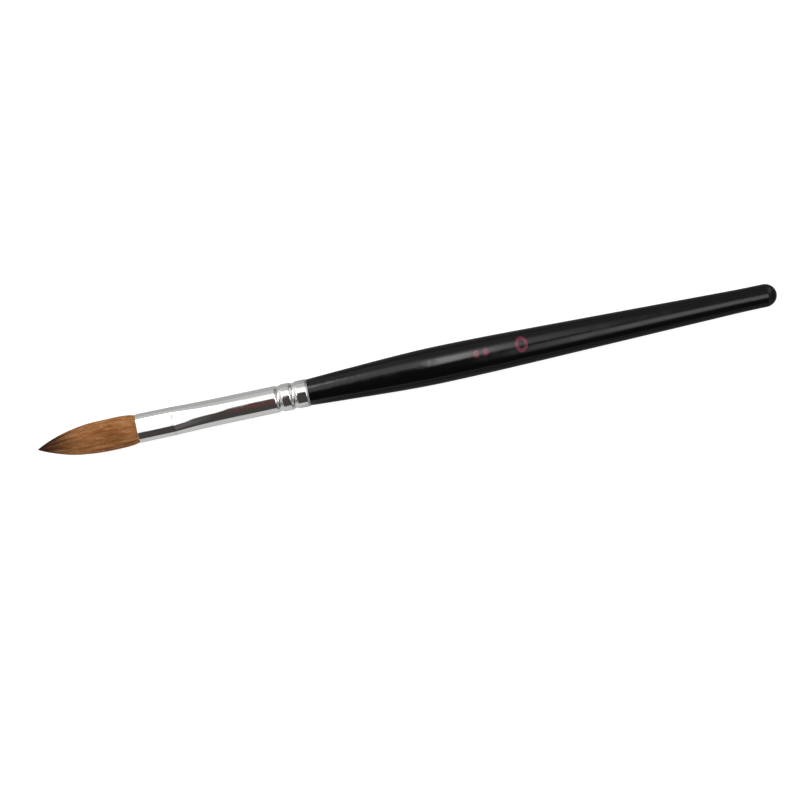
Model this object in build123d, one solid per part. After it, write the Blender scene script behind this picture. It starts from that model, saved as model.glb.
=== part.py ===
from build123d import *
import os
from math import pi, sin, sqrt

# A round, pointed sable brush with a crimped metal ferrule and a lacquered wooden handle.
#
# The brush lies along X with the hair tip at -X and the handle's end at +X. Z points up, and the handle's
# belly rests on Z = 0. The ferrule's pressed flats face up and down. Every size is in millimetres.

# ---- Lengths along the brush: the hair that shows, the ferrule and the handle ----
POINT_LENGTH = 16.5  # from the tip to where the hair reaches its full width
BODY_LENGTH = 2.6  # at its full width
FLARE_LENGTH = 5.5  # over which the hair swells as it leaves the ferrule's mouth
FERRULE_LENGTH = 41.6
HANDLE_LENGTH = 113.8  # lacquered handle behind the ferrule

# ---- Ferrule: a drawn tube, pressed flat at the mouth and rolled on to the handle at the rear ----
FERRULE_WALL = 0.3
TUBE_RADIUS = 3.22
MOUTH_HALF_WIDTH = 3.48  # across the flats' length, along Y
MOUTH_HALF_HEIGHT = 2.52  # from the axis to a flat, along Z
CREASE_TIGHTENING = 0.06  # how much closer to the axis the metal is at the crease than at the mouth
CREASE_FROM_MOUTH = 8.8  # where the plier's jaws ended
ROUND_FROM_MOUTH = 19.8  # from here on the tube is round
RIM_ROUNDING = 0.1
GROOVE_DEPTH = 0.22  # of the two rolled crimps
BEAD_HEIGHT = 0.07  # how far the metal beside a crimp stands proud of the tube
CRIMP_FROM_REAR = (7.15, 3.65)  # the two grooves' centres
CRIMP_RUN_IN = 1.8  # from the tube's straight stretch to the first groove's centre
COLLAR_START_FROM_REAR = 2.0  # the plain collar behind the second groove
COLLAR_END_FROM_REAR = 0.75
REAR_RIM_ROLL_IN = 0.05  # how far the rear rim is rolled in from the tube on to the handle
REAR_RIM_LAND = 0.3  # the short parallel lip at the rear rim

# ---- Handle: a turned wooden core under a dipped coat of lacquer ----
LACQUER = 0.18
BELLY_RADIUS = 4.48
BELLY_FROM_REAR = 31.8
FRONT_SWELL_RADIUS = 3.80  # halfway up the front taper
FRONT_SWELL_FROM_REAR = 12.0
TAPER_RADIUS = 4.18  # where the belly's curve runs into the straight taper
TAPER_FROM_REAR = 51.8
TAPER_EASING = 3.0  # the curve from the straight taper to the parallel stretch
END_RADIUS = 2.77
PARALLEL_END = 4.0  # the parallel stretch ahead of the domed end
SHOULDER_SLOPE = 0.06  # rise per millimetre where the handle leaves the ferrule

# ---- Tenon and the cement that holds it ----
TENON_LENGTH = 16.0
CEMENT = 0.08
TENON_CHAMFER = 0.6

# ---- Hair: a pointed tuft, its root inside the ferrule, tied and set in resin ----
TUFT_HALF_WIDTH = 3.80
TUFT_HALF_THICKNESS = 2.85
POINT_POWER = 0.85  # below 1 makes the point blunter
FLARE_POWER = 0.6  # below 1 makes most of the swelling come at the mouth
TIP_RADIUS = 0.08
ROOT_CLEARANCE = 0.05  # between the hair and the ferrule's bore
ROOT_DEPTH = 13.5  # hair inside the ferrule
NECK_DRAW_IN = 0.32  # how much slimmer the thread draws the root than the bore at the mouth
THREAD_DIAMETER = 0.30
THREAD_PITCH = 0.33
THREAD_TURNS = 5
STRAND_SIDES = 8
SET_CLEARANCE = 0.02  # round the hair's neck and the thread
THREAD_FROM_BUTT = 0.4
RESIN_AHEAD_OF_THREAD = 0.4
RESIN_BEHIND_BUTT = 4.0
RESIN_DISH = 0.9  # how deep the resin's rear face is hollowed by its meniscus

# ---- Worked out from the sizes above ----
tuft_reach = POINT_LENGTH + BODY_LENGTH + FLARE_LENGTH
overall_length = tuft_reach + FERRULE_LENGTH + HANDLE_LENGTH
tip_x = -overall_length / 2
mouth_x = tip_x + tuft_reach
crease_x = mouth_x + CREASE_FROM_MOUTH
round_x = mouth_x + ROUND_FROM_MOUTH
rear_x = mouth_x + FERRULE_LENGTH
end_x = rear_x + HANDLE_LENGTH
axis_height = BELLY_RADIUS
crease_half_width = MOUTH_HALF_WIDTH - CREASE_TIGHTENING
crease_half_height = MOUTH_HALF_HEIGHT - CREASE_TIGHTENING
rear_rim_radius = TUBE_RADIUS - REAR_RIM_ROLL_IN
bore_inset = FERRULE_WALL
tenon_inset = FERRULE_WALL + CEMENT
tenon_front_x = rear_x - TENON_LENGTH
butt_x = mouth_x + ROOT_DEPTH
thread_radius = THREAD_DIAMETER / 2
winding_length = THREAD_TURNS * THREAD_PITCH
winding_end_x = butt_x - THREAD_FROM_BUTT - thread_radius
winding_start_x = winding_end_x - winding_length
neck_radius = MOUTH_HALF_HEIGHT - FERRULE_WALL - NECK_DRAW_IN
winding_radius = neck_radius + SET_CLEARANCE + thread_radius
neck_x = winding_start_x - thread_radius - RESIN_AHEAD_OF_THREAD  # the neck and the resin begin here
flat_half_length = MOUTH_HALF_WIDTH - MOUTH_HALF_HEIGHT  # the flats' half width, along Y


def across(x):
    """The plane square to the brush at x, with its own x along Y and its own y along Z."""
    return Plane(origin=(x, 0, 0), x_dir=(0, 1, 0), z_dir=(1, 0, 0))


def spun(outline):
    """The solid swept by a closed outline of (x, radius) curves turned about the brush's axis."""
    return revolve(make_face(outline), axis=Axis.X)


# ---------------------------------------------------------------- ferrule


def pressed_section(x, flatness, inset):
    """The tube's section at x: flatness 1 is the pressed oval at the crease and 0 the round tube."""
    half_width = TUBE_RADIUS + flatness * (crease_half_width - TUBE_RADIUS) - inset
    radius = TUBE_RADIUS - inset
    corner_y = flat_half_length
    round_corner_z = sqrt(radius**2 - corner_y**2)
    flat_z = crease_half_height - inset
    corner_z = round_corner_z + flatness * (flat_z - round_corner_z)
    crown_z = radius + flatness * (flat_z - radius)
    return oval(x, corner_y, corner_z, crown_z, half_width)


def oval(x, corner_y, corner_z, crown_z, half_width):
    """A closed section of four edges: a crowned or flat top and bottom, and a round at each side."""
    if crown_z - corner_z > 1e-6:
        top = ThreePointArc((-corner_y, corner_z), (0, crown_z), (corner_y, corner_z))
    else:
        top = Line((-corner_y, corner_z), (corner_y, corner_z))
    side = ThreePointArc((corner_y, corner_z), (half_width, 0), (corner_y, -corner_z))
    bottom = mirror(top, about=Plane.XZ)
    other_side = mirror(side, about=Plane.YZ)
    return across(x) * make_face([top, side, bottom, other_side])


def mouth_section(x, inset):
    return oval(
        x, flat_half_length, MOUTH_HALF_HEIGHT - inset, MOUTH_HALF_HEIGHT - inset, MOUTH_HALF_WIDTH - inset
    )


def crimped_line(inset, start_x):
    """The outline from start_x to the rear rim: a straight run, two grooves with a bead between, a collar, a lip."""
    first_x, second_x = (rear_x - distance for distance in CRIMP_FROM_REAR)
    tube = TUBE_RADIUS - inset
    groove = tube - GROOVE_DEPTH
    bead = tube + BEAD_HEIGHT
    lip = rear_rim_radius - inset
    run_in = (first_x - CRIMP_RUN_IN, tube)
    bead_crown = ((first_x + second_x) / 2, bead)
    collar_start = (rear_x - COLLAR_START_FROM_REAR, bead)
    collar_end = (rear_x - COLLAR_END_FROM_REAR, bead)
    lip_start = (rear_x - REAR_RIM_LAND, lip)
    level = [(1, 0), (1, 0)]
    return [
        Line((start_x, tube), run_in),
        Spline(run_in, (first_x, groove), bead_crown, (second_x, groove), collar_start, tangents=level),
        Line(collar_start, collar_end),
        Spline(collar_end, lip_start, tangents=level),
        Line(lip_start, (rear_x, lip)),
    ]


def ferrule_filling(inset):
    """Everything inside the ferrule's wall at that inset, from the mouth to the rear rim."""
    straight = loft([mouth_section(mouth_x, inset), pressed_section(crease_x, 1, inset)], ruled=True)
    steps = 5
    sections = []
    for i in range(steps + 1):
        share = i / steps
        x = crease_x + share * (round_x - crease_x)
        sections.append(pressed_section(x, (1 - share) ** 2, inset))
    easing = loft(sections)
    radius = TUBE_RADIUS - inset
    lip = rear_rim_radius - inset
    tube = spun(
        [
            Line((round_x, 0), (round_x, radius)),
            *crimped_line(inset, round_x),
            Line((rear_x, lip), (rear_x, 0)),
            Line((rear_x, 0), (round_x, 0)),
        ]
    )
    return straight + easing + tube


def make_ferrule():
    """The tube's wall, with both of the mouth's edges and the rear rim's outer edge rounded."""
    shell = ferrule_filling(0) - ferrule_filling(bore_inset)
    mouth_edges = shell.faces().sort_by(Axis.X)[0].edges()
    rear_edge = shell.faces().sort_by(Axis.X)[-1].outer_wire().edges()
    return fillet([*mouth_edges, *rear_edge], RIM_ROUNDING)


# ---------------------------------------------------------------- handle


def handle_outline(inset):
    """The handle's outline from the shoulder to the pole of its domed end."""
    taper_x = rear_x + TAPER_FROM_REAR
    dome_x = end_x - END_RADIUS
    parallel_x = dome_x - PARALLEL_END
    slope = (TAPER_RADIUS - END_RADIUS) / (parallel_x - TAPER_EASING / 2 - taper_x)
    taper_end = (parallel_x - TAPER_EASING, END_RADIUS + slope * TAPER_EASING / 2 - inset)
    shoulder = (rear_x, rear_rim_radius - inset)
    front_swell = (rear_x + FRONT_SWELL_FROM_REAR, FRONT_SWELL_RADIUS - inset)
    belly = (rear_x + BELLY_FROM_REAR, BELLY_RADIUS - inset)
    taper_start = (taper_x, TAPER_RADIUS - inset)
    radius = END_RADIUS - inset
    return [
        Spline(shoulder, front_swell, belly, tangents=[(1, SHOULDER_SLOPE), (1, 0)]),
        Spline(belly, taper_start, tangents=[(1, 0), (1, -slope)]),
        Line(taper_start, taper_end),
        Spline(taper_end, (parallel_x, radius), tangents=[(1, -slope), (1, 0)]),
        Line((parallel_x, radius), (dome_x, radius)),
        RadiusArc((dome_x, radius), (dome_x + radius, 0), radius),
    ]


def make_handle_core():
    """The turned wood, with a tenon that fills the ferrule's rolled crimps."""
    tenon_start = (tenon_front_x, 0)
    nose_radius = TUBE_RADIUS - tenon_inset - TENON_CHAMFER
    nose = (tenon_front_x, nose_radius)
    tenon_edge = (tenon_front_x + TENON_CHAMFER, TUBE_RADIUS - tenon_inset)
    root = (rear_x, rear_rim_radius - tenon_inset)
    shoulder = (rear_x, rear_rim_radius - LACQUER)
    pole = (end_x - LACQUER, 0)
    return spun(
        [
            Line(tenon_start, nose),
            Line(nose, tenon_edge),
            *crimped_line(tenon_inset, tenon_edge[0]),
            Line(root, shoulder),
            *handle_outline(LACQUER),
            Line(pole, tenon_start),
        ]
    )


def make_lacquer():
    """The dipped coat, from the ferrule's rim round the domed end."""
    return spun(
        [
            Line((rear_x, rear_rim_radius - LACQUER), (rear_x, rear_rim_radius)),
            *handle_outline(0),
            Line((end_x, 0), (end_x - LACQUER, 0)),
            *handle_outline(LACQUER),
        ]
    )


def make_cement():
    """The film of cement between the tenon and the ferrule."""
    start_x = tenon_front_x + TENON_CHAMFER
    bore = TUBE_RADIUS - bore_inset
    tenon = TUBE_RADIUS - tenon_inset
    bore_lip = rear_rim_radius - bore_inset
    tenon_lip = rear_rim_radius - tenon_inset
    return spun(
        [
            Line((start_x, tenon), (start_x, bore)),
            *crimped_line(bore_inset, start_x),
            Line((rear_x, bore_lip), (rear_x, tenon_lip)),
            *crimped_line(tenon_inset, start_x),
        ]
    )


# ---------------------------------------------------------------- hair and its root


def hair_section(x, half_width, half_height):
    return across(x) * Ellipse(half_width, half_height)


def root_section(x, metal_half_width, metal_half_height):
    """The hair's section inside the ferrule, where the metal's outside has these half sizes."""
    inset = bore_inset + ROOT_CLEARANCE
    return hair_section(x, metal_half_width - inset, metal_half_height - inset)


def point_section(share):
    """A section of the pointed end, at that share of the point's length from the tip."""
    fullness = sin(pi / 2 * share**POINT_POWER)
    return hair_section(
        tip_x + share * POINT_LENGTH, fullness * TUFT_HALF_WIDTH, fullness * TUFT_HALF_THICKNESS
    )


def flare_section(share):
    """A section of the hair that swells out of the mouth, at that share of the flare's length."""
    fullness = sin(pi / 2 * share**FLARE_POWER)
    inset = bore_inset + ROOT_CLEARANCE
    width = MOUTH_HALF_WIDTH - inset
    height = MOUTH_HALF_HEIGHT - inset
    return hair_section(
        mouth_x - share * FLARE_LENGTH,
        width + fullness * (TUFT_HALF_WIDTH - width),
        height + fullness * (TUFT_HALF_THICKNESS - height),
    )


def make_tuft():
    """The hair as one closed form: a pointed petal ahead of the mouth and a tied root behind it."""
    petal = loft(
        [
            hair_section(tip_x, TIP_RADIUS, TIP_RADIUS),
            *(point_section(share) for share in (0.1, 0.25, 0.45, 0.7, 1)),
            *(flare_section(share) for share in (1, 0.5, 0.2, 0)),
        ]
    )
    mouth = root_section(mouth_x, MOUTH_HALF_WIDTH, MOUTH_HALF_HEIGHT)
    crease = root_section(crease_x, crease_half_width, crease_half_height)
    gathered = loft([crease, across(neck_x) * Circle(neck_radius)], ruled=True)
    neck = extrude(across(neck_x) * Circle(neck_radius), butt_x - neck_x)
    return petal + loft([mouth, crease], ruled=True) + gathered + neck


def make_thread():
    """Waxed thread wound round the root's neck, its twisted strand taken as a many-sided rod."""
    path = Helix(
        pitch=THREAD_PITCH,
        height=winding_length,
        radius=winding_radius,
        center=(winding_start_x, 0, 0),
        direction=(1, 0, 0),
    )
    strand = Plane(origin=path @ 0, z_dir=path % 0) * RegularPolygon(thread_radius, STRAND_SIDES)
    return sweep(strand, path=path, is_frenet=True)


def make_resin():
    """The resin plug that sets the hair's butt and the thread in the ferrule."""
    back_x = butt_x + RESIN_BEHIND_BUTT
    stretch = extrude(across(neck_x) * Circle(2 * TUBE_RADIUS), back_x - neck_x)
    neck = extrude(across(neck_x) * Circle(neck_radius + SET_CLEARANCE), butt_x - neck_x)
    end_room = thread_radius + SET_CLEARANCE
    winding = extrude(
        across(winding_start_x - end_room) * Circle(winding_radius + end_room), winding_length + 2 * end_room
    )
    bore_radius = TUBE_RADIUS - bore_inset
    dish_radius = (bore_radius**2 + RESIN_DISH**2) / (2 * RESIN_DISH)
    dish = Pos(back_x - RESIN_DISH + dish_radius, 0, 0) * Sphere(dish_radius)
    return (ferrule_filling(bore_inset) & stretch) - neck - winding - dish


def write(name, solid):
    """Lays the piece down with the handle's belly on Z = 0 and writes it as parts/NAME.step."""
    export_step(Pos(0, 0, axis_height) * solid, f"parts/{name}.step")


os.makedirs("parts", exist_ok=True)
write("handle_core", make_handle_core())
write("handle_lacquer", make_lacquer())
write("ferrule", make_ferrule())
write("tenon_cement", make_cement())
write("hair_tuft", make_tuft())
write("binding_thread", make_thread())
write("root_resin", make_resin())
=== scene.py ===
"""The finish of a round, pointed sable brush: single hairs, a bright crimped ferrule and a black lacquered handle.

Everything is in metres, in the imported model's frame. The brush lies along X with the hair's tip at -X, and
its belly rests on Z = 0. Sizes come from the model's own boxes or from the named values below.
"""

import math

import bpy
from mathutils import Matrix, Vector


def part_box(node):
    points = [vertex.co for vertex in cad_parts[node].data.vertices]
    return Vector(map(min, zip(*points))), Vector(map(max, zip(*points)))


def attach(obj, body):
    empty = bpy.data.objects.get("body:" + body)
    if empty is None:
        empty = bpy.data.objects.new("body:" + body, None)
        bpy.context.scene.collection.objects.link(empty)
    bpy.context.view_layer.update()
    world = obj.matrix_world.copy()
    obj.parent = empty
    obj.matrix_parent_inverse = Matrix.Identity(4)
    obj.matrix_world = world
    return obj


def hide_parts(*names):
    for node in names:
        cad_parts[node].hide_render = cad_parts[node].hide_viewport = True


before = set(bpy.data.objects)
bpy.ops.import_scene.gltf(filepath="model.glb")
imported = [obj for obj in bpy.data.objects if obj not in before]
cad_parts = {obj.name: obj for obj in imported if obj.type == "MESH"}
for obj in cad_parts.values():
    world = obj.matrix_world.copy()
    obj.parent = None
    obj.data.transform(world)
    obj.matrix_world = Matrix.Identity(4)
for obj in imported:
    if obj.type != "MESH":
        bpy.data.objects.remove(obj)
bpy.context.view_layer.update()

MM = 0.001

# ---- Places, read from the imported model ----
hair_low, hair_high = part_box("hair_tuft")
ferrule_low, ferrule_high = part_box("ferrule")
handle_low, handle_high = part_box("handle_lacquer")
tip_x, butt_x = hair_low.x, hair_high.x
mouth_x, rear_x = ferrule_low.x, ferrule_high.x
axis_z = (handle_low.z + handle_high.z) / 2
half_width = (hair_high.y - hair_low.y) / 2
half_thickness = (hair_high.z - hair_low.z) / 2

# ---- The ferrule ----
WALL = 0.3 * MM
TUBE_RADIUS = 3.22 * MM
MOUTH_RADIUS = 2.52 * MM  # of the rounded sides, and from the axis to a flat
MOUTH_FLAT = 0.96 * MM  # half a flat's breadth
CREASE_TIGHTENING = 0.06 * MM
CREASE_FROM_MOUTH = 8.8 * MM
ROUND_FROM_MOUTH = 22.0 * MM
CRIMPS_FROM_REAR = (7.15 * MM, 3.65 * MM)
CRIMP_HALF_WIDTH = 0.95 * MM
GROOVE_DEPTH = 0.22 * MM
BEAD_HEIGHT = 0.07 * MM
REAR_ROLL_IN = 0.05 * MM
REAR_LIP = (0.55 * MM, 0.1 * MM)  # where the rear starts and stops rolling in, ahead of its rim
PRESS_TURN = math.radians(0.5)  # of the mouth's flats about the axis
UNEVENNESS = 0.02 * MM

# ---- The hair ----
POINT_LENGTH = 16.5 * MM  # from the tip to the tuft's full width
POINT_POWER = 0.85
FLARE_LENGTH = 5.5 * MM  # over which the hair swells out of the ferrule
FLARE_POWER = 0.6
MOUTH_HALF_WIDTH = 3.13 * MM
MOUTH_HALF_HEIGHT = 2.17 * MM
HAIR_RADIUS = 0.036 * MM
THINNEST_END = 0.003 * MM
HAIRS_IN_A_LOCK = 640
LOCKS = 7
HAIR_STEPS = 26
HAIR_IN_FERRULE = 4.0 * MM
HAIR_SETBACK = 6.0 * MM  # how far short of the tip the shortest hairs end
SETBACK_POWER = 2.2  # the higher it is, the fewer hairs end short
HAIR_WANDER = 0.10  # how far a hair turns round the tuft on its way, in radians
SWING = 7.0  # radians of a hair's sideways swing, from root to tip
SWING_TURN = 0.35  # how far it swings round the tuft, as a share of the wander
SWING_DEPTH = 0.008  # how far it swings in and out, as a share of the outline
FURROW_DEPTH = 0.10  # how far hairs sink into furrows, as a share of the outline
FURROW_MIDDLE = 0.62  # the noise at which a hair is neither sunk nor raised
TAPER_START = 3.2  # a hair thins over its last 1 / 3.2
TAPER_POWER = 0.7
FIRST_LOCK = (0.90, 0.94)  # the innermost lock's depth, as shares of the way from the axis to the outline
LOCK_STEP = 0.012  # how much further out each lock lies than the one before
CORE_SHARE = 0.93  # how much of the tuft the solid core under the outer hairs fills
CORE_FROM_TIP = 1.2 * MM

# ---- The printed marks, on top of the handle ----
DOTS_FROM_FERRULE = 40.55 * MM
DOT_SPACING = 2.3 * MM
DOT_HALF_SIZE = (0.7 * MM, 0.95 * MM)
RING_FROM_FERRULE = 51.45 * MM
RING_HALF_SIZE = (1.5 * MM, 1.9 * MM)
MARKS_ASIDE = 0.6 * MM  # of the axis, towards +Y

# ---- Levels of light and of the floor, where 1 shows as white ----
ROOM_AHEAD, ROOM, ROOM_BEHIND, END_WALLS = 0.56, 0.40, 0.27, 0.13
MAIN_BOX, FRONT_BOX, BELLY_BOX, SLANTING_STRIP = 1.45, 6.0, 7.0, 2.5
END_BOX, LOW_END_BOX = 0.95, 0.50
DULL_SURFACE_EXTRA = 0.4
FLOOR_TO_THE_EYE = 0.90
FLOOR_IN_FERRULE = (0.31, 0.16)  # as mirrored on its -Y side and on its +Y side, which is darker with painted shadow
# Painted shadow: beside the handle the mirrored floor is darker, both its glow and its dull share
FLOOR_IN_HANDLE = 0.05
FLOOR_FAINT, FLOOR_FAINT_IN_HANDLE = 0.3, 0.15  # the floor's dull share, which takes the shadow
FLOOR_PLAIN = 0.8  # what lights the brush from below

# ---- Floor and camera ----
FLOOR_HALF_SIZE = 3.0
CAMERA_DISTANCE = 300 * MM
VIEW_WIDTH = 190.7 * MM  # what the camera takes in at the brush's axis
VIEW_TURN = math.radians(11.98)
VIEW_CENTRE = (-3.0 * MM, -6.3 * MM)
SENSOR = 36.0


# ---------------------------------------------------------------- helpers


def new_group(name, kind, inputs=(), outputs=()):
    """An empty node group with named sockets, each given as (name, socket type, default or None)."""
    tree = bpy.data.node_groups.new(name, kind)
    for direction, sockets in (("INPUT", inputs), ("OUTPUT", outputs)):
        for label, socket_type, default in sockets:
            item = tree.interface.new_socket(label, in_out=direction, socket_type=socket_type)
            if default is not None:
                item.default_value = default
    return tree, tree.nodes.new("NodeGroupInput"), tree.nodes.new("NodeGroupOutput")


def feed(tree, value, socket):
    """Links an output to a socket, or sets the socket to a plain value."""
    if isinstance(value, bpy.types.NodeSocket):
        tree.links.new(value, socket)
    else:
        socket.default_value = value


def add(tree, kind, inputs=None, **settings):
    """Adds a node with these settings and feeds its inputs, which are named or numbered."""
    node = tree.nodes.new(kind)
    for name, value in settings.items():
        setattr(node, name, value)
    for name, value in (inputs or {}).items():
        feed(tree, value, node.inputs[name])
    return node


def maths(tree):
    """A function that adds a Math node and returns its result: calc("ADD", a, b)."""

    def calc(operation, *values):
        node = add(tree, "ShaderNodeMath", operation=operation)
        for value, socket in zip(values, node.inputs):
            feed(tree, value, socket)
        return node.outputs[0]

    return calc


def ramped(tree, value, low, high, to_low=0.0, to_high=1.0):
    """A smooth step from to_low to to_high as value goes from low to high."""
    inputs = {"Value": value, "From Min": low, "From Max": high, "To Min": to_low, "To Max": to_high}
    return add(tree, "ShaderNodeMapRange", inputs, interpolation_type="SMOOTHSTEP").outputs["Result"]


def mixed(tree, factor, first, second):
    """A colour between two, by factor."""
    node = add(tree, "ShaderNodeMix", data_type="RGBA")
    feed(tree, factor, node.inputs["Factor"])
    feed(tree, first, node.inputs[6])
    feed(tree, second, node.inputs[7])
    return node.outputs[2]


def grey(level):
    return (level, level, level, 1)


def split(tree, vector):
    """A vector's x, y and z."""
    return add(tree, "ShaderNodeSeparateXYZ", {0: vector}).outputs


def joined(tree, x, y, z):
    return add(tree, "ShaderNodeCombineXYZ", {"X": x, "Y": y, "Z": z}).outputs[0]


def scaled(tree, where, scale):
    """A place scaled along each axis by its own amount, for patterns that are longer one way."""
    return add(tree, "ShaderNodeVectorMath", {0: where, 1: scale}, operation="MULTIPLY").outputs[0]


def noise(tree, where, scale, detail=2.0, roughness=0.5):
    inputs = {"Vector": where, "Scale": scale, "Detail": detail, "Roughness": roughness}
    return add(tree, "ShaderNodeTexNoise", inputs).outputs[0]


def held(calc, value):
    """A value kept between 0 and 1."""
    return calc("MINIMUM", calc("MAXIMUM", value, 0.0), 1.0)


def new_material(name):
    material = bpy.data.materials.new(name)
    material.use_nodes = True
    tree = material.node_tree
    return material, tree, tree.nodes["Principled BSDF"]


def place(tree, group, values, kind="ShaderNodeGroup"):
    """Puts a shared group into a tree with its own values."""
    node = add(tree, kind, node_tree=group)
    for name, value in values.items():
        feed(tree, value, node.inputs[name])
    return node


def object_place(tree):
    return add(tree, "ShaderNodeTexCoord").outputs["Object"]


# ---------------------------------------------------------------- shared effects


def make_handling_group():
    """Roughness that wanders with finger grease and fine rubbing, stretched along the brush."""
    tree, given, result = new_group(
        "handling",
        "ShaderNodeTree",
        [
            ("Place", "NodeSocketVector", None),
            ("Polished", "NodeSocketFloat", 0.05),
            ("Handled", "NodeSocketFloat", 0.2),
            ("Scratches", "NodeSocketFloat", 0.1),
        ],
        [("Roughness", "NodeSocketFloat", None)],
    )
    calc = maths(tree)
    where = given.outputs["Place"]
    smeared = ramped(tree, noise(tree, where, 180.0, 3.0, 0.55), 0.42, 0.72)
    scratched = ramped(tree, noise(tree, scaled(tree, where, (60.0, 2600.0, 2600.0)), 1.0), 0.62, 0.75)
    span = calc("SUBTRACT", given.outputs["Handled"], given.outputs["Polished"])
    roughness = calc("ADD", given.outputs["Polished"], calc("MULTIPLY", span, smeared))
    roughness = calc("ADD", roughness, calc("MULTIPLY", scratched, given.outputs["Scratches"]))
    feed(tree, roughness, result.inputs["Roughness"])
    return tree


def make_ripple_group():
    """A height that varies slowly along and round the brush, for surfaces that aren't quite true."""
    tree, given, result = new_group(
        "ripple",
        "ShaderNodeTree",
        [
            ("Place", "NodeSocketVector", None),
            ("Along", "NodeSocketFloat", 60.0),
            ("Across", "NodeSocketFloat", 200.0),
            ("Fine", "NodeSocketFloat", 0.0),
        ],
        [("Height", "NodeSocketFloat", None)],
    )
    calc = maths(tree)
    where, across = given.outputs["Place"], given.outputs["Across"]
    scale = joined(tree, given.outputs["Along"], across, across)
    waves = noise(tree, scaled(tree, where, scale), 1.0, 1.0)
    fine = calc("MULTIPLY", noise(tree, where, 2500.0), given.outputs["Fine"])
    feed(tree, calc("ADD", waves, fine), result.inputs["Height"])
    return tree


def make_print_group():
    """A mask for three plain printed marks on top of the handle: two dots and a ring."""
    tree, given, result = new_group(
        "printed_marks",
        "ShaderNodeTree",
        [("Place", "NodeSocketVector", None), ("Axis Height", "NodeSocketFloat", 0.0)],
        [("Mask", "NodeSocketFloat", None)],
    )
    calc = maths(tree)
    here_x, here_y, here_z = split(tree, given.outputs["Place"])

    def reach(x, half_size):
        """How far a point is from the middle of a mark at x, 1 at the mark's edge."""
        along = calc("DIVIDE", calc("SUBTRACT", here_x, x), half_size[0])
        across = calc("DIVIDE", calc("SUBTRACT", here_y, MARKS_ASIDE), half_size[1])
        return calc("SQRT", calc("ADD", calc("MULTIPLY", along, along), calc("MULTIPLY", across, across)))

    mask = 0.0
    for i in range(2):
        far = reach(rear_x + DOTS_FROM_FERRULE + i * DOT_SPACING, DOT_HALF_SIZE)
        mask = calc("MAXIMUM", mask, ramped(tree, far, 0.85, 1.1, 1, 0))
    far = reach(rear_x + RING_FROM_FERRULE, RING_HALF_SIZE)
    ring = calc("MULTIPLY", ramped(tree, far, 0.92, 1.05, 1, 0), ramped(tree, far, 0.45, 0.6))
    mask = calc("MAXIMUM", mask, ring)
    worn = noise(tree, given.outputs["Place"], 2200.0)
    mask = calc("MULTIPLY", mask, ramped(tree, worn, 0.3, 0.5, 0.45, 1.0))
    on_top = calc("GREATER_THAN", here_z, given.outputs["Axis Height"])
    feed(tree, calc("MULTIPLY", mask, on_top), result.inputs["Mask"])
    return tree


HANDLING = make_handling_group()
RIPPLE = make_ripple_group()
PRINTED_MARKS = make_print_group()


def bump(tree, height, distance):
    inputs = {"Height": height, "Distance": distance, "Strength": 1.0}
    return add(tree, "ShaderNodeBump", inputs).outputs["Normal"]


# ---------------------------------------------------------------- materials


def make_bright_metal():
    """Nickel-plated tube: mirror bright, faintly wavy, with rub marks, and a dull residue in the crease."""
    material, tree, shader = new_material("bright_metal")
    where = object_place(tree)
    wear = place(tree, HANDLING, {"Place": where, "Polished": 0.05, "Handled": 0.13, "Scratches": 0.08})
    ripple = place(tree, RIPPLE, {"Place": where, "Along": 130.0, "Across": 260.0, "Fine": 0.02})
    calc = maths(tree)
    x, _, _ = split(tree, where)
    from_crease = calc("ABSOLUTE", calc("SUBTRACT", x, mouth_x + CREASE_FROM_MOUTH))
    in_crease = ramped(tree, from_crease, 0.1 * MM, 0.4 * MM, 1, 0)
    residue = calc("MULTIPLY", in_crease, ramped(tree, noise(tree, where, 700.0), 0.35, 0.60))
    colour = mixed(tree, residue, (0.87, 0.865, 0.85, 1), (0.50, 0.53, 0.47, 1))
    feed(tree, colour, shader.inputs["Base Color"])
    shader.inputs["Metallic"].default_value = 1.0
    feed(tree, wear.outputs["Roughness"], shader.inputs["Roughness"])
    feed(tree, bump(tree, ripple.outputs["Height"], 0.03 * MM), shader.inputs["Normal"])
    return material


def make_black_lacquer():
    """Deep black gloss with a slight orange peel, and three plain red printed marks."""
    material, tree, shader = new_material("black_lacquer")
    where = object_place(tree)
    wear = place(tree, HANDLING, {"Place": where, "Polished": 0.13, "Handled": 0.2, "Scratches": 0.04})
    ripple = place(tree, RIPPLE, {"Place": where, "Along": 60.0, "Across": 180.0, "Fine": 0.02})
    marks = place(tree, PRINTED_MARKS, {"Place": where, "Axis Height": axis_z})
    colour = mixed(tree, marks.outputs["Mask"], (0.0020, 0.0020, 0.0024, 1), (0.150, 0.017, 0.036, 1))
    feed(tree, colour, shader.inputs["Base Color"])
    shader.inputs["Specular IOR Level"].default_value = 0.4
    feed(tree, wear.outputs["Roughness"], shader.inputs["Roughness"])
    feed(tree, bump(tree, ripple.outputs["Height"], 0.012 * MM), shader.inputs["Normal"])
    return material


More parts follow.
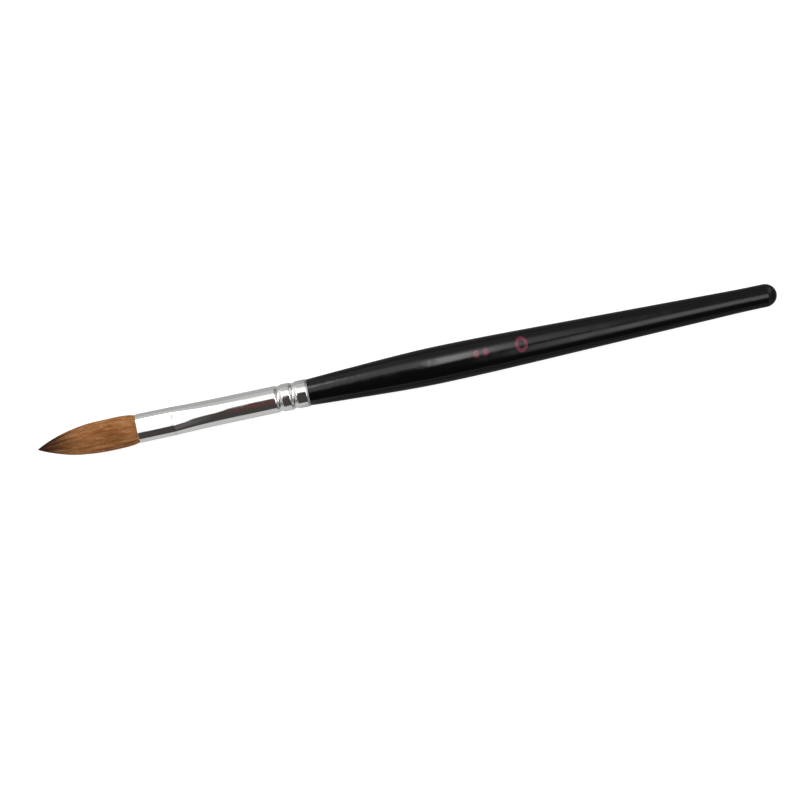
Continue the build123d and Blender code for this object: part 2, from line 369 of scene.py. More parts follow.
def make_hair(name, shade):
    """Natural sable hair, golden brown with a dark point. Streaks and short glints follow the hairs; the glints
    are painted highlights in the colour.

    The shade, from 0 to 1, is how far the hair lies in the dark of the hairs over it.
    """
    material, tree, shader = new_material(name)
    calc = maths(tree)
    tone = add(tree, "ShaderNodeAttribute", attribute_name="tone").outputs["Fac"]
    strand = add(tree, "ShaderNodeAttribute", attribute_name="strand").outputs["Vector"]
    x, y, _ = split(tree, object_place(tree))
    broad = noise(tree, strand, 0.5)
    fine = noise(tree, strand, 1.6, 3.0)
    from_tip = calc("SUBTRACT", x, tip_x)
    drift = calc("MULTIPLY", calc("SUBTRACT", calc("ADD", tone, broad), 1.0), 5.0 * MM)
    leaning = calc("MULTIPLY", y, -0.6)
    dark_end = ramped(tree, calc("ADD", calc("ADD", from_tip, drift), leaning), 2.0 * MM, 12.0 * MM, 1, 0)
    lightness = calc("ADD", calc("MULTIPLY", tone, 0.45), calc("MULTIPLY", ramped(tree, broad, 0.32, 0.68), 0.55))
    body = mixed(tree, lightness, (0.235, 0.074, 0.0125, 1), (0.55, 0.265, 0.098, 1))
    # Painted highlights: short pale glints along the hairs, mixed into the base colour
    body = mixed(tree, ramped(tree, fine, 0.58, 0.70, 0, 0.8), body, (0.66, 0.42, 0.22, 1))
    body = mixed(tree, ramped(tree, fine, 0.30, 0.40, 0.7, 0), body, (0.13, 0.038, 0.007, 1))
    colour = mixed(tree, dark_end, body, (0.038, 0.0085, 0.003, 1))
    feed(tree, mixed(tree, shade, colour, (0.05, 0.017, 0.004, 1)), shader.inputs["Base Color"])
    shader.inputs["Roughness"].default_value = 0.5
    shader.inputs["Specular IOR Level"].default_value = 0.14
    return material


def make_wood():
    """Turned beech under the lacquer: pale, with fine lengthwise grain."""
    material, tree, shader = new_material("turned_wood")
    where = object_place(tree)
    grain = noise(tree, scaled(tree, where, (40.0, 900.0, 900.0)), 1.0, 5.0)
    colour = mixed(tree, ramped(tree, grain, 0.35, 0.65), (0.55, 0.35, 0.19, 1), (0.37, 0.20, 0.09, 1))
    feed(tree, colour, shader.inputs["Base Color"])
    shader.inputs["Roughness"].default_value = 0.6
    feed(tree, bump(tree, grain, 0.05 * MM), shader.inputs["Normal"])
    return material


def make_set_glue(name, light, dark, roughness):
    """Set resin or cement, cloudy and a little uneven."""
    material, tree, shader = new_material(name)
    cloud = noise(tree, object_place(tree), 900.0, 4.0)
    feed(tree, mixed(tree, cloud, light, dark), shader.inputs["Base Color"])
    feed(tree, ramped(tree, cloud, 0.3, 0.7, roughness, roughness + 0.2), shader.inputs["Roughness"])
    feed(tree, bump(tree, cloud, 0.02 * MM), shader.inputs["Normal"])
    return material


def make_waxed_thread():
    """Waxed thread with its twist showing as slanting bands."""
    material, tree, shader = new_material("waxed_thread")
    inputs = {"Vector": object_place(tree), "Scale": 2500.0, "Distortion": 1.5}
    twist = add(tree, "ShaderNodeTexWave", inputs).outputs["Fac"]
    colour = mixed(tree, twist, (0.62, 0.54, 0.40, 1), (0.80, 0.74, 0.62, 1))
    feed(tree, colour, shader.inputs["Base Color"])
    shader.inputs["Roughness"].default_value = 0.5
    feed(tree, bump(tree, twist, 0.03 * MM), shader.inputs["Normal"])
    return material


# ---------------------------------------------------------------- pieces from Geometry Nodes


def point_place(tree):
    """Each point's x, y and z before the tree moves it."""
    return split(tree, add(tree, "GeometryNodeInputPosition").outputs[0])


def put_out(tree, given, result, geometry):
    """Ends a tree: its instances are made real and its material is set."""
    real = add(tree, "GeometryNodeRealizeInstances", {"Geometry": geometry})
    inputs = {"Geometry": real.outputs[0], "Material": given.outputs["Material"]}
    feed(tree, add(tree, "GeometryNodeSetMaterial", inputs).outputs[0], result.inputs["Geometry"])


def grown(name, tree, values):
    """Runs a Geometry Nodes tree with these values and returns the result as a plain mesh object."""
    piece = bpy.data.objects.new(name, bpy.data.meshes.new(name))
    bpy.context.scene.collection.objects.link(piece)
    modifier = piece.modifiers.new(name, "NODES")
    modifier.node_group = tree
    sockets = {item.name: item.identifier for item in tree.interface.items_tree if item.in_out == "INPUT"}
    for label, value in values.items():
        modifier[sockets[label]] = value
    evaluated = piece.evaluated_get(bpy.context.evaluated_depsgraph_get())
    mesh = bpy.data.meshes.new_from_object(evaluated)
    piece.modifiers.clear()
    piece.data = mesh
    mesh.name = name
    return piece


# ---------------------------------------------------------------- the ferrule


def make_crimp_group():
    """How far the tube's surface stands from its plain radius at a distance from the mouth."""
    tree, given, result = new_group(
        "crimps",
        "GeometryNodeTree",
        [
            ("From Mouth", "NodeSocketFloat", None),
            ("Length", "NodeSocketFloat", rear_x - mouth_x),
            ("Groove Depth", "NodeSocketFloat", GROOVE_DEPTH),
            ("Bead Height", "NodeSocketFloat", BEAD_HEIGHT),
            ("Rear Roll In", "NodeSocketFloat", REAR_ROLL_IN),
        ],
        [("Height", "NodeSocketFloat", None)],
    )
    calc = maths(tree)
    from_rear = calc("SUBTRACT", given.outputs["Length"], given.outputs["From Mouth"])
    down = calc("MULTIPLY", given.outputs["Groove Depth"], -1.0)
    up = calc("ADD", given.outputs["Groove Depth"], given.outputs["Bead Height"])
    rolled = calc("MULTIPLY", calc("ADD", given.outputs["Bead Height"], given.outputs["Rear Roll In"]), -1.0)
    first, second = CRIMPS_FROM_REAR
    steps = [
        (first + CRIMP_HALF_WIDTH, first, down),
        (first, first - CRIMP_HALF_WIDTH, up),
        (second + CRIMP_HALF_WIDTH, second, calc("MULTIPLY", up, -1.0)),
        (second, second - CRIMP_HALF_WIDTH, up),
        (*REAR_LIP, rolled),
    ]
    height = 0.0
    for start, end, change in steps:
        height = calc("ADD", height, calc("MULTIPLY", change, ramped(tree, from_rear, start, end)))
    feed(tree, height, result.inputs["Height"])
    return tree


CRIMPS = make_crimp_group()


def make_ferrule_tree():
    """A tube of even wall, pressed to two flats at the mouth, round behind them and crimped at the rear.

    A sheet is rolled into a closed shell: one way runs round the brush, and the other runs back along the
    outside, round the rear rim, forward along the bore and round the front rim.
    """
    tree, given, result = new_group(
        "pressed_and_crimped_tube",
        "GeometryNodeTree",
        [
            ("Around", "NodeSocketInt", 161),
            ("Along", "NodeSocketInt", 481),
            ("Mouth X", "NodeSocketFloat", mouth_x),
            ("Length", "NodeSocketFloat", rear_x - mouth_x),
            ("Axis Z", "NodeSocketFloat", axis_z),
            ("Wall", "NodeSocketFloat", WALL),
            ("Tube Radius", "NodeSocketFloat", TUBE_RADIUS),
            ("Mouth Radius", "NodeSocketFloat", MOUTH_RADIUS),
            ("Mouth Flat", "NodeSocketFloat", MOUTH_FLAT),
            ("Crease From Mouth", "NodeSocketFloat", CREASE_FROM_MOUTH),
            ("Crease Tightening", "NodeSocketFloat", CREASE_TIGHTENING),
            ("Round From Mouth", "NodeSocketFloat", ROUND_FROM_MOUTH),
            ("Press Turn", "NodeSocketFloat", 0.0),
            ("Unevenness", "NodeSocketFloat", 0.0),
            ("Material", "NodeSocketMaterial", None),
        ],
        [("Geometry", "NodeSocketGeometry", None)],
    )
    calc = maths(tree)
    around, along = given.outputs["Around"], given.outputs["Along"]
    inputs = {"Size X": 1.0, "Size Y": 1.0, "Vertices X": around, "Vertices Y": along}
    sheet = add(tree, "GeometryNodeMeshGrid", inputs)
    sheet_x, sheet_y, _ = point_place(tree)
    angle = calc("MULTIPLY", sheet_x, 2 * math.pi)  # from the top, towards +Y
    lap = calc("ADD", sheet_y, 0.5)

    # Where the outside, the rear rim and the bore end, as shares of a lap. The front rim is the rest
    outside, rear_rim, bore = 0.86, 0.88, 0.98

    def share(start, end):
        return held(calc, calc("DIVIDE", calc("SUBTRACT", lap, start), end - start))

    half_wall = calc("MULTIPLY", given.outputs["Wall"], 0.5)
    straight = calc("SUBTRACT", given.outputs["Length"], given.outputs["Wall"])
    back = calc("MULTIPLY", straight, calc("SUBTRACT", share(0.0, outside), share(rear_rim, bore)))
    rear_turn = calc("MULTIPLY", share(outside, rear_rim), math.pi)
    front_turn = calc("MULTIPLY", share(bore, 1.0), math.pi)
    bulge = calc("SUBTRACT", calc("SINE", rear_turn), calc("SINE", front_turn))
    from_mouth = calc("ADD", calc("ADD", half_wall, back), calc("MULTIPLY", half_wall, bulge))
    depth = calc("SUBTRACT", calc("COSINE", front_turn), calc("COSINE", rear_turn))
    inset = calc("MULTIPLY", half_wall, depth)

    # The section: rounds of one radius, pushed apart by the flats
    behind = calc("SUBTRACT", from_mouth, given.outputs["Crease From Mouth"])
    easing = calc("SUBTRACT", given.outputs["Round From Mouth"], given.outputs["Crease From Mouth"])
    eased = held(calc, calc("DIVIDE", behind, easing))
    pressed = calc("POWER", calc("SUBTRACT", 1.0, eased), 2.0)
    crease_radius = calc("SUBTRACT", given.outputs["Mouth Radius"], given.outputs["Crease Tightening"])
    narrowing = calc("MULTIPLY", calc("SUBTRACT", given.outputs["Tube Radius"], crease_radius), pressed)
    radius = calc("SUBTRACT", given.outputs["Tube Radius"], narrowing)
    ahead = calc("MAXIMUM", calc("MULTIPLY", behind, -1.0), 0.0)
    splay = calc("DIVIDE", ahead, given.outputs["Crease From Mouth"])
    radius = calc("ADD", radius, calc("MULTIPLY", splay, given.outputs["Crease Tightening"]))
    flat = calc("MULTIPLY", pressed, given.outputs["Mouth Flat"])
    inputs = {"From Mouth": from_mouth, "Length": given.outputs["Length"]}
    crimps = place(tree, CRIMPS, inputs, "GeometryNodeGroup")
    radius = calc("ADD", radius, crimps.outputs["Height"])
    along_scale, round_scale = 90.0, 0.9
    wave_y = calc("MULTIPLY", calc("COSINE", angle), round_scale)
    wave_z = calc("MULTIPLY", calc("SINE", angle), round_scale)
    waves = noise(tree, joined(tree, calc("MULTIPLY", from_mouth, along_scale), wave_y, wave_z), 1.0)
    radius = calc("ADD", radius, calc("MULTIPLY", calc("SUBTRACT", waves, 0.5), given.outputs["Unevenness"]))
    radius = calc("SUBTRACT", radius, inset)

    # Round the section: part of the vertices belong to the flats, where they share one slope
    flat_angle = 0.38  # in radians, of each quarter turn of the sheet
    side = calc("SIGN", angle)
    fold = calc("ABSOLUTE", angle)
    top = calc("SIGN", calc("SUBTRACT", math.pi / 2, fold))
    fold = calc("SUBTRACT", math.pi / 2, calc("ABSOLUTE", calc("SUBTRACT", math.pi / 2, fold)))
    on_flat = calc("MINIMUM", calc("DIVIDE", fold, flat_angle), 1.0)
    on_round = calc("DIVIDE", calc("MAXIMUM", calc("SUBTRACT", fold, flat_angle), 0.0), math.pi / 2 - flat_angle)
    given_up = calc("MULTIPLY", calc("SUBTRACT", 1.0, pressed), flat_angle)
    round_slope = calc("MULTIPLY", on_round, calc("SUBTRACT", math.pi / 2, given_up))
    slope = calc("ADD", calc("MULTIPLY", on_flat, given_up), round_slope)
    y = calc("ADD", calc("MULTIPLY", radius, calc("SINE", slope)), calc("MULTIPLY", flat, on_flat))
    y = calc("MULTIPLY", y, side)
    z = calc("MULTIPLY", calc("MULTIPLY", radius, calc("COSINE", slope)), top)
    turn = calc("MULTIPLY", given.outputs["Press Turn"], pressed)
    cosine, sine = calc("COSINE", turn), calc("SINE", turn)
    turned_y = calc("ADD", calc("MULTIPLY", y, cosine), calc("MULTIPLY", z, sine))
    turned_z = calc("SUBTRACT", calc("MULTIPLY", z, cosine), calc("MULTIPLY", y, sine))
    x = calc("ADD", given.outputs["Mouth X"], from_mouth)
    moved = joined(tree, x, turned_y, calc("ADD", given.outputs["Axis Z"], turned_z))
    rolled = add(tree, "GeometryNodeSetPosition", {"Geometry": sheet.outputs["Mesh"], "Position": moved})
    closed = add(tree, "GeometryNodeMergeByDistance", {"Geometry": rolled.outputs[0], "Distance": 0.0005 * MM})
    # Rolled this way the shell comes out inside out, so its faces are turned
    outward = add(tree, "GeometryNodeFlipFaces", {"Mesh": closed.outputs[0]})
    smooth = add(tree, "GeometryNodeSetShadeSmooth", {"Geometry": outward.outputs[0]})
    put_out(tree, given, result, smooth.outputs[0])
    return tree


def make_ferrule():
    piece = grown(
        "ferrule_tube",
        make_ferrule_tree(),
        {"Press Turn": PRESS_TURN, "Unevenness": UNEVENNESS, "Material": make_bright_metal()},
    )
    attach(piece, "root")
    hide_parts("ferrule")


# ---------------------------------------------------------------- the tuft


def make_outline_group():
    """The tuft's half width and half height at a place along the brush."""
    tree, given, result = new_group(
        "tuft_outline",
        "GeometryNodeTree",
        [
            ("X", "NodeSocketFloat", None),
            ("Tip X", "NodeSocketFloat", tip_x),
            ("Mouth X", "NodeSocketFloat", mouth_x),
            ("Half Width", "NodeSocketFloat", half_width),
            ("Half Thickness", "NodeSocketFloat", half_thickness),
            ("Mouth Half Width", "NodeSocketFloat", MOUTH_HALF_WIDTH),
            ("Mouth Half Height", "NodeSocketFloat", MOUTH_HALF_HEIGHT),
        ],
        [("Width", "NodeSocketFloat", None), ("Height", "NodeSocketFloat", None)],
    )
    calc = maths(tree)

    def eased(distance, length, power):
        share = held(calc, calc("DIVIDE", distance, length))
        return calc("SINE", calc("MULTIPLY", calc("POWER", share, power), math.pi / 2))

    point = eased(calc("SUBTRACT", given.outputs["X"], given.outputs["Tip X"]), POINT_LENGTH, POINT_POWER)
    flare = eased(calc("SUBTRACT", given.outputs["Mouth X"], given.outputs["X"]), FLARE_LENGTH, FLARE_POWER)
    for full, mouth, target in (
        ("Half Width", "Mouth Half Width", "Width"),
        ("Half Thickness", "Mouth Half Height", "Height"),
    ):
        swell = calc("SUBTRACT", given.outputs[full], given.outputs[mouth])
        behind = calc("ADD", given.outputs[mouth], calc("MULTIPLY", swell, flare))
        ahead = calc("MULTIPLY", given.outputs[full], point)
        feed(tree, calc("MINIMUM", ahead, behind), result.inputs[target])
    return tree


OUTLINE = make_outline_group()


def stored(tree, geometry, name, value, data_type="FLOAT"):
    """The geometry with a named value kept on each of its points."""
    node = add(tree, "GeometryNodeStoreNamedAttribute", {"Name": name}, data_type=data_type, domain="POINT")
    feed(tree, geometry, node.inputs["Geometry"])
    feed(tree, value, node.inputs["Value"])
    return node.outputs[0]


def strand_place(tree, across, up, x):
    """A place in a pattern that runs along the hairs: round the tuft it is fine, and along it is stretched."""
    calc = maths(tree)
    round_scale, along_scale = 9.0, 260.0
    round_x, round_y = calc("MULTIPLY", across, round_scale), calc("MULTIPLY", up, round_scale)
    return joined(tree, round_x, round_y, calc("MULTIPLY", x, along_scale))


def make_core_tree():
    """A closed body under the outer hairs, from near the tip to the butt inside the ferrule."""
    tree, given, result = new_group(
        "hair_core",
        "GeometryNodeTree",
        [
            ("Front X", "NodeSocketFloat", 0.0),
            ("Back X", "NodeSocketFloat", 0.0),
            ("Share", "NodeSocketFloat", 0.9),
            ("Axis Z", "NodeSocketFloat", 0.0),
            ("Rings", "NodeSocketInt", 60),
            ("Material", "NodeSocketMaterial", None),
        ],
        [("Geometry", "NodeSocketGeometry", None)],
    )
    calc = maths(tree)
    tube = add(
        tree,
        "GeometryNodeMeshCylinder",
        {"Vertices": 64, "Side Segments": given.outputs["Rings"], "Radius": 1.0, "Depth": 1.0},
        fill_type="TRIANGLE_FAN",
    )
    up, across, back = point_place(tree)
    along = calc("SUBTRACT", 0.5, back)
    reach = calc("SUBTRACT", given.outputs["Back X"], given.outputs["Front X"])
    x = calc("ADD", given.outputs["Front X"], calc("MULTIPLY", along, reach))
    outline = place(tree, OUTLINE, {"X": x}, "GeometryNodeGroup")
    width = calc("MULTIPLY", outline.outputs["Width"], given.outputs["Share"])
    height = calc("MULTIPLY", outline.outputs["Height"], given.outputs["Share"])
    y = calc("MULTIPLY", across, width)
    z = calc("ADD", given.outputs["Axis Z"], calc("MULTIPLY", up, height))
    moved = joined(tree, x, y, z)
    shaped = add(tree, "GeometryNodeSetPosition", {"Geometry": tube.outputs["Mesh"], "Position": moved})
    toned = stored(tree, shaped.outputs[0], "tone", noise(tree, moved, 2500.0))
    toned = stored(tree, toned, "strand", strand_place(tree, across, up, x), "FLOAT_VECTOR")
    put_out(tree, given, result, toned)
    return tree


def make_hair_tree():
    """Single hairs that run from inside the ferrule and gather to the tuft's point."""
    tree, given, result = new_group(
        "single_hairs",
        "GeometryNodeTree",
        [
            ("Hairs", "NodeSocketInt", 400),
            ("Steps", "NodeSocketInt", 24),
            ("Seed", "NodeSocketInt", 0),
            ("Root X", "NodeSocketFloat", 0.0),
            ("Tip X", "NodeSocketFloat", 0.0),
            ("Axis Z", "NodeSocketFloat", 0.0),
            ("Hair Radius", "NodeSocketFloat", 0.0),
            ("Inner Share", "NodeSocketFloat", 0.88),
            ("Outer Share", "NodeSocketFloat", 1.0),
            ("Setback", "NodeSocketFloat", 0.0),
            ("Wander", "NodeSocketFloat", 0.0),
            ("Furrows", "NodeSocketFloat", 0.0),
            ("Material", "NodeSocketMaterial", None),
        ],
        [("Geometry", "NodeSocketGeometry", None)],
    )
    calc = maths(tree)
    draws = iter(range(100))

    def drawn(low, high):
        """A number for each hair, between low and high."""
        seed = calc("ADD", given.outputs["Seed"], float(next(draws) * 37))
        node = add(tree, "FunctionNodeRandomValue", data_type="FLOAT")
        feed(tree, low, node.inputs[2])
        feed(tree, high, node.inputs[3])
        feed(tree, seed, node.inputs["Seed"])
        return node.outputs[1]

    def recalled(name):
        return add(tree, "GeometryNodeInputNamedAttribute", {"Name": name}, data_type="FLOAT").outputs[0]

    points = add(tree, "GeometryNodePoints", {"Count": given.outputs["Hairs"]}).outputs[0]
    points = stored(tree, points, "turn", drawn(0.0, 2 * math.pi))
    points = stored(tree, points, "depth", drawn(given.outputs["Inner Share"], given.outputs["Outer Share"]))
    points = stored(tree, points, "short", calc("POWER", drawn(0.0, 1.0), SETBACK_POWER))
    points = stored(tree, points, "twist", drawn(-1.0, 1.0))
    points = stored(tree, points, "phase", drawn(0.0, 2 * math.pi))
    points = stored(tree, points, "thick", drawn(0.7, 1.3))
    points = stored(tree, points, "chance", drawn(0.0, 1.0))

    line = add(tree, "GeometryNodeCurvePrimitiveLine", {"Start": (0, 0, 0), "End": (1, 0, 0)})
    blank = add(tree, "GeometryNodeResampleCurve", {"Curve": line.outputs[0], "Count": given.outputs["Steps"]})
    copies = add(tree, "GeometryNodeInstanceOnPoints", {"Points": points, "Instance": blank.outputs[0]})
    curves = add(tree, "GeometryNodeRealizeInstances", {"Geometry": copies.outputs[0]}).outputs[0]

    along, _, _ = point_place(tree)
    root, wander = given.outputs["Root X"], given.outputs["Wander"]
    end = calc("ADD", given.outputs["Tip X"], calc("MULTIPLY", recalled("short"), given.outputs["Setback"]))
    x = calc("ADD", root, calc("MULTIPLY", along, calc("SUBTRACT", end, root)))
    outline = place(tree, OUTLINE, {"X": x}, "GeometryNodeGroup")
    swing = calc("SINE", calc("ADD", recalled("phase"), calc("MULTIPLY", along, SWING)))
    twisted = calc("MULTIPLY", calc("MULTIPLY", recalled("twist"), wander), along)
    turn = calc("ADD", recalled("turn"), twisted)
    turn = calc("ADD", turn, calc("MULTIPLY", swing, calc("MULTIPLY", wander, SWING_TURN)))
    cosine, sine = calc("COSINE", turn), calc("SINE", turn)
    strand = strand_place(tree, cosine, sine, x)
    furrows = noise(tree, strand, 0.55, 1.0)
    depth = calc("ADD", recalled("depth"), calc("MULTIPLY", swing, SWING_DEPTH))
    raised = calc("MULTIPLY", calc("SUBTRACT", furrows, FURROW_MIDDLE), given.outputs["Furrows"])
    depth = calc("ADD", depth, raised)
    thickness = given.outputs["Hair Radius"]
    inset_width = calc("MAXIMUM", calc("SUBTRACT", outline.outputs["Width"], thickness), 0.0)
    inset_height = calc("MAXIMUM", calc("SUBTRACT", outline.outputs["Height"], thickness), 0.0)
    y = calc("MULTIPLY", calc("MULTIPLY", inset_width, depth), cosine)
    z = calc("ADD", given.outputs["Axis Z"], calc("MULTIPLY", calc("MULTIPLY", inset_height, depth), sine))
    moved = joined(tree, x, y, z)

    to_end = calc("MULTIPLY", calc("SUBTRACT", 1.0, along), TAPER_START)
    taper = calc("POWER", calc("MINIMUM", to_end, 1.0), TAPER_POWER)
    curves = stored(tree, curves, "taper", taper)
    curves = stored(tree, curves, "tone", recalled("chance"))
    curves = stored(tree, curves, "strand", strand, "FLOAT_VECTOR")
    curves = add(tree, "GeometryNodeSetPosition", {"Geometry": curves, "Position": moved}).outputs[0]
    radius = calc("MULTIPLY", calc("MULTIPLY", recalled("thick"), thickness), recalled("taper"))
    radius = calc("MAXIMUM", radius, THINNEST_END)
    profile = add(tree, "GeometryNodeCurvePrimitiveCircle", {"Resolution": 4, "Radius": 1.0}).outputs[0]
    inputs = {"Curve": curves, "Profile Curve": profile, "Scale": radius, "Fill Caps": True}
    tubes = add(tree, "GeometryNodeCurveToMesh", inputs)
    smooth = add(tree, "GeometryNodeSetShadeSmooth", {"Geometry": tubes.outputs[0]})
    put_out(tree, given, result, smooth.outputs[0])
    return tree


def make_tuft():
    hair = make_hair("sable_hair", 0.0)
    under_hair = make_hair("sable_under_hair", 0.35)
    core = grown(
        "hair_core",
        make_core_tree(),
        {
            "Front X": tip_x + CORE_FROM_TIP,
            "Back X": butt_x,
            "Share": CORE_SHARE,
            "Axis Z": axis_z,
            "Material": under_hair,
        },
    )
    core.data.shade_smooth()
    pieces = [core]
    hair_tree = make_hair_tree()
    for i in range(LOCKS):
        pieces.append(
            grown(
                f"hair_lock_{i + 1}",
                hair_tree,
                {
                    "Hairs": HAIRS_IN_A_LOCK,
                    "Steps": HAIR_STEPS,
                    "Seed": 11 + 7 * i,
                    "Root X": mouth_x + HAIR_IN_FERRULE,
                    "Tip X": tip_x,
                    "Axis Z": axis_z,
                    "Hair Radius": HAIR_RADIUS,
                    "Inner Share": FIRST_LOCK[0] + LOCK_STEP * i,
                    "Outer Share": FIRST_LOCK[1] + LOCK_STEP * i,
                    "Setback": HAIR_SETBACK,
                    "Wander": HAIR_WANDER,
                    "Furrows": FURROW_DEPTH,
                    "Material": hair,
                },
            )
        )
    for piece in pieces:
        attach(piece, "root")
        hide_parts("hair_tuft")


# ---------------------------------------------------------------- nodes that keep their shape


def finish_nodes():
    """Gives each carried-over node its material."""
    finishes = {
        "handle_lacquer": make_black_lacquer(),
        "handle_core": make_wood(),
        "root_resin": make_set_glue("amber_resin", (0.62, 0.40, 0.13, 1), (0.40, 0.20, 0.05, 1), 0.15),
        "tenon_cement": make_set_glue("cement", (0.72, 0.66, 0.55, 1), (0.52, 0.45, 0.34, 1), 0.5),
        "binding_thread": make_waxed_thread(),
    }
    for name, material in finishes.items():
        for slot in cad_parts[name].material_slots:
            slot.material = material


# ---------------------------------------------------------------- the set


def make_world():
    """A small studio: a room in half light with soft boxes in it, and a dark side under the camera.

    Each patch of light is a soft-edged rectangle in the plane of the floor, as seen from straight above.
    """
    world = bpy.data.worlds.new("studio")
    bpy.context.scene.world = world
    world.use_nodes = True
    tree = world.node_tree
    background = tree.nodes["Background"]
    calc = maths(tree)
    direction = add(tree, "ShaderNodeTexCoord").outputs["Generated"]
    x, y, z = split(tree, direction)

    def between(value, low, high, soft):
        """1 where a value is between two others, with soft ends."""
        rise = ramped(tree, calc("SUBTRACT", value, low), -soft, soft)
        fall = ramped(tree, calc("SUBTRACT", value, high), -soft, soft, 1, 0)
        return calc("MULTIPLY", rise, fall)

    def patch(x_range, y_range, softness):
        across = between(x, *x_range, softness[0])
        return calc("MULTIPLY", across, between(y, *y_range, softness[1]))

    # The room: half light, dimmer towards the handle's end, with low dark walls beyond both ends
    room = mixed(tree, ramped(tree, x, -0.10, 0.0), grey(ROOM_AHEAD), grey(ROOM))
    room = mixed(tree, ramped(tree, x, 0.12, 0.24), room, grey(ROOM_BEHIND))
    beyond_ends = ramped(tree, calc("ABSOLUTE", x), 0.5, 0.62)
    walls = calc("MULTIPLY", beyond_ends, ramped(tree, z, 0.36, 0.50, 1, 0))
    room = mixed(tree, walls, room, grey(END_WALLS))

    # The dark side, with something brown standing in it and a paler thing beside that
    stains = ramped(tree, noise(tree, direction, 14.0, 1.0), 0.35, 0.6, 0.35, 1)
    brown = calc("MULTIPLY", stains, patch((-0.132, -0.098), (-0.5, 0.12), (0.012, 0.12)))
    dark = mixed(tree, brown, (0.056, 0.051, 0.048, 1), (0.140, 0.050, 0.040, 1))
    paler = patch((-0.36, -0.22), (-0.85, -0.30), (0.05, 0.15))
    dark = mixed(tree, paler, dark, (0.125, 0.112, 0.106, 1))
    near_edge = ramped(tree, x, -0.20, -0.10, -0.11, 0.22)
    shaded = ramped(tree, calc("SUBTRACT", y, near_edge), -0.09, 0.09, 1, 0)
    shaded = calc("MULTIPLY", shaded, between(x, -0.60, 0.36, 0.06))
    shaded = calc("MULTIPLY", shaded, ramped(tree, z, 0.06, 0.2))

    # The main soft box over +Y, with the dark side in front of it
    main = patch((-0.55, 0.20), (-0.2, 0.77), (0.05, 0.14))
    lit = mixed(tree, main, room, grey(MAIN_BOX))
    lit = mixed(tree, shaded, lit, dark)

    # A small box over the handle's front, and one over its belly with a slanting near edge
    front = patch((-0.26, -0.155), (0.56, 0.76), (0.03, 0.07))
    lit = mixed(tree, front, lit, grey(FRONT_BOX))
    belly_edge = ramped(tree, x, 0.02, 0.10, 0.0, 0.12)
    past_edge = ramped(tree, calc("SUBTRACT", y, belly_edge), -0.14, 0.14)
    belly = calc("MULTIPLY", between(x, 0.012, 0.105, 0.04), past_edge)
    belly = calc("MULTIPLY", belly, ramped(tree, y, 0.50, 0.74, 1, 0))
    lit = mixed(tree, belly, lit, grey(BELLY_BOX))

    # A strip over the handle's end, slanting as far as its bend and straight from there
    bend_x, slope = 0.32, 1.9
    slanted = calc("SUBTRACT", y, calc("MULTIPLY", calc("SUBTRACT", calc("MINIMUM", x, bend_x), bend_x), slope))
    strip = calc("MULTIPLY", between(x, 0.17, 0.45, 0.05), between(slanted, -0.35, 0.19, 0.14))
    lit = mixed(tree, strip, lit, grey(SLANTING_STRIP))

    # Soft boxes beyond both ends, high enough to leave the crimps' dark side dark
    for x_range in ((-0.84, -0.42), (0.48, 0.84)):
        lit = mixed(tree, patch(x_range, (0.20, 0.86), (0.08, 0.20)), lit, grey(END_BOX))
        lit = mixed(tree, patch(x_range, (-0.95, -0.74), (0.08, 0.10)), lit, grey(LOW_END_BOX))

    path = add(tree, "ShaderNodeLightPath")
    feed(tree, mixed(tree, path.outputs["Is Camera Ray"], lit, grey(1)), background.inputs["Color"])
    # Dull surfaces get a little more than the soft boxes alone would give them
    extra = calc("MULTIPLY", path.outputs["Is Diffuse Ray"], DULL_SURFACE_EXTRA)
    feed(tree, calc("ADD", 1.0, extra), background.inputs["Strength"])


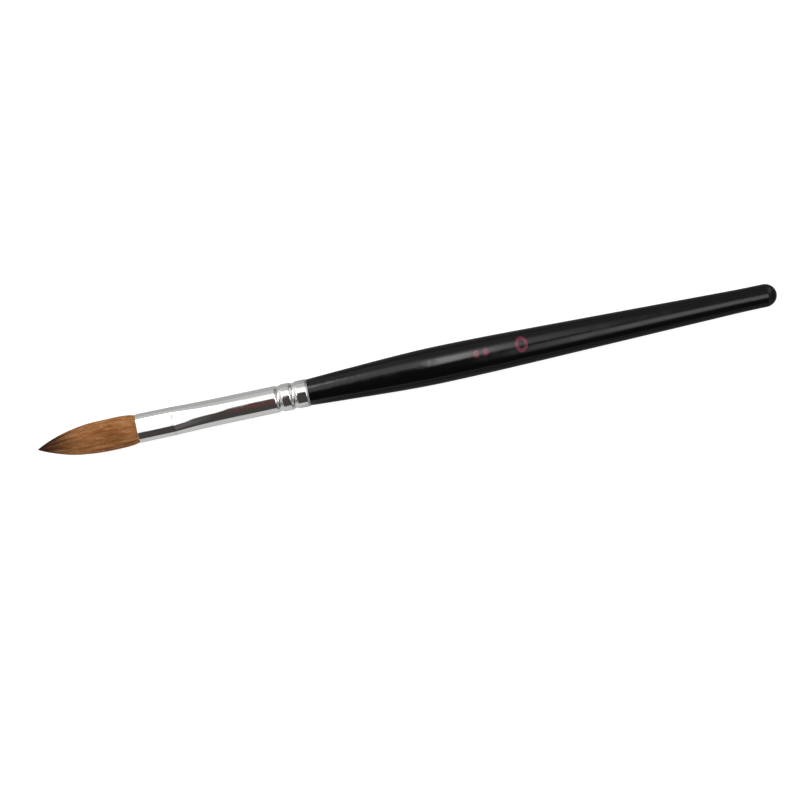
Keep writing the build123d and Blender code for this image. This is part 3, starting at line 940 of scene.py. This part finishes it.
def make_floor():
    """A white floor that stays white to the eye and keeps a soft shadow under the brush. In mirrors it shows a
    painted shadow, darker on its +Y side and beside the handle.
    """
    size = FLOOR_HALF_SIZE
    mesh = bpy.data.meshes.new("floor")
    mesh.from_pydata([(-size, -size, 0), (size, -size, 0), (size, size, 0), (-size, size, 0)], [], [(0, 1, 2, 3)])
    floor = bpy.data.objects.new("floor", mesh)
    bpy.context.scene.collection.objects.link(floor)
    material = bpy.data.materials.new("white_floor")
    material.use_nodes = True
    tree = material.node_tree
    tree.nodes.remove(tree.nodes["Principled BSDF"])
    calc = maths(tree)
    path = add(tree, "ShaderNodeLightPath")
    mirrored = calc("MAXIMUM", path.outputs["Is Glossy Ray"], path.outputs["Is Transmission Ray"])
    seen = calc("MAXIMUM", path.outputs["Is Camera Ray"], mirrored)
    x, y, _ = split(tree, object_place(tree))
    # Painted shadow of the handle: beside it the floor is darker in mirrors
    painted_handle_shadow = ramped(tree, x, rear_x - 6 * MM, rear_x + 4 * MM)
    near, far = FLOOR_IN_FERRULE
    # Painted shadow of the brush: in mirrors the floor is darker on its +Y side
    in_mirrors = mixed(tree, ramped(tree, y, -10 * MM, 10 * MM), grey(near), grey(far))
    in_mirrors = mixed(tree, painted_handle_shadow, in_mirrors, grey(FLOOR_IN_HANDLE))
    level = mixed(tree, mirrored, grey(FLOOR_TO_THE_EYE), in_mirrors)
    painted_shadow_in_mirrors = calc("MULTIPLY", mirrored, painted_handle_shadow)
    dull = mixed(tree, painted_shadow_in_mirrors, grey(FLOOR_FAINT), grey(FLOOR_FAINT_IN_HANDLE))
    plain = add(tree, "ShaderNodeBsdfDiffuse", {"Color": grey(FLOOR_PLAIN)})
    faint = add(tree, "ShaderNodeBsdfDiffuse", {"Color": dull})
    glow = add(tree, "ShaderNodeEmission", {"Color": grey(1), "Strength": level})
    both = add(tree, "ShaderNodeAddShader", {0: faint.outputs[0], 1: glow.outputs[0]})
    chosen = add(tree, "ShaderNodeMixShader", {0: seen, 1: plain.outputs[0], 2: both.outputs[0]})
    tree.links.new(chosen.outputs[0], tree.nodes["Material Output"].inputs["Surface"])
    mesh.materials.append(material)


def make_camera():
    data = bpy.data.cameras.new("camera")
    data.type = "PERSP"
    data.sensor_width = SENSOR
    data.lens = SENSOR / 2 / (VIEW_WIDTH / 2 / CAMERA_DISTANCE)
    camera = bpy.data.objects.new("camera", data)
    camera.location = (*VIEW_CENTRE, axis_z + CAMERA_DISTANCE)
    camera.rotation_euler = (0, 0, -VIEW_TURN)
    bpy.context.scene.collection.objects.link(camera)
    bpy.context.scene.camera = camera


bpy.context.scene.view_settings.view_transform = "Standard"
make_camera()
make_world()
make_floor()
make_ferrule()
make_tuft()
finish_nodes()
